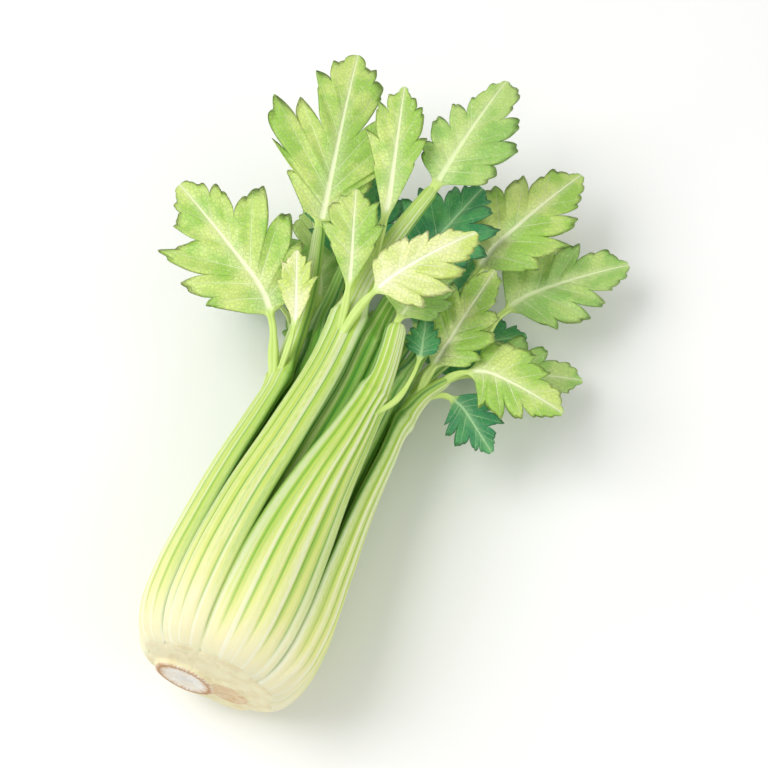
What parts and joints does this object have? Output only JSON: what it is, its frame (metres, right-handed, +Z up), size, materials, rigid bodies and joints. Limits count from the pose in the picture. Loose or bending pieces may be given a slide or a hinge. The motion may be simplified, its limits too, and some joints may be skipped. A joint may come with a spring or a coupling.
{
  "type": "head of celery",
  "caption": "Whole head of celery with its cut root, lying on its side: bulbous ribbed stalks overlapping round a heart, branching into a loose fan of lobed, toothed leaves.",
  "frame": {"origin": "middle of the footprint, on the surface that the head lies on", "axes": "+Y along the head from the cut root towards the leaf tips, +Z up from the surface, +X to the right seen from the root end"},
  "size_m": [0.2428, 0.3762, 0.1069],
  "materials": {
    "root": "cut celery plate, moist and matt, cream with a tan rim",
    "outer_stalk": "waxy stalk skin, soft sheen",
    "inner_stalk": "waxy stalk skin, soft sheen",
    "heart_stalk": "waxy stalk skin, soft sheen",
    "bright_leaf": "leaf blade, soft sheen",
    "pale_leaf": "leaf blade, soft sheen",
    "green_leaf": "leaf blade, soft sheen",
    "deep_leaf": "leaf blade, soft sheen",
    "heart_leaf": "leaf blade, soft sheen"
  },
  "bodies": {
    "root": {"crown": "root", "stalk_top_left": "outer_stalk", "stalk_top_right": "outer_stalk", "stalk_right": "outer_stalk", "stalk_low_right": "outer_stalk", "stalk_under_right": "outer_stalk", "stalk_under_left": "outer_stalk", "stalk_low_left": "outer_stalk", "stalk_left": "outer_stalk", "inner_stalk_top": "inner_stalk", "inner_stalk_right": "inner_stalk", "inner_stalk_low_right": "inner_stalk", "inner_stalk_low_left": "inner_stalk", "inner_stalk_left": "inner_stalk", "heart_stalk_top": "heart_stalk", "heart_stalk_low": "heart_stalk", "heart_stalk_left": "heart_stalk", "leaf_far_left": "bright_leaf", "leaf_upper_left": "bright_leaf", "leaf_bud_left": "pale_leaf", "leaf_centre_small": "bright_leaf", "leaf_front": "pale_leaf", "leaf_top_middle": "bright_leaf", "leaf_top": "green_leaf", "leaf_behind_front": "green_leaf", "leaf_shaded_right": "deep_leaf", "leaf_right_upright": "bright_leaf", "leaf_right_front": "bright_leaf", "leaf_right_hanging": "deep_leaf", "leaf_right_behind": "green_leaf", "leaf_far_right": "green_leaf", "leaf_upper_right": "bright_leaf", "leaf_shaded_top": "deep_leaf", "leaf_shaded_left": "deep_leaf", "leaf_low_left_far": "green_leaf", "leaf_low_left_near": "deep_leaf", "leaf_under_left": "deep_leaf", "leaf_under_left_inner": "green_leaf", "leaf_under_right": "deep_leaf", "leaf_under_right_inner": "green_leaf", "leaf_inner_low_right": "deep_leaf", "leaf_inner_low_left": "deep_leaf", "leaf_heart_top": "heart_leaf", "leaf_heart_low": "heart_leaf", "leaf_heart_left": "heart_leaf"}
  },
  "joints": []
}
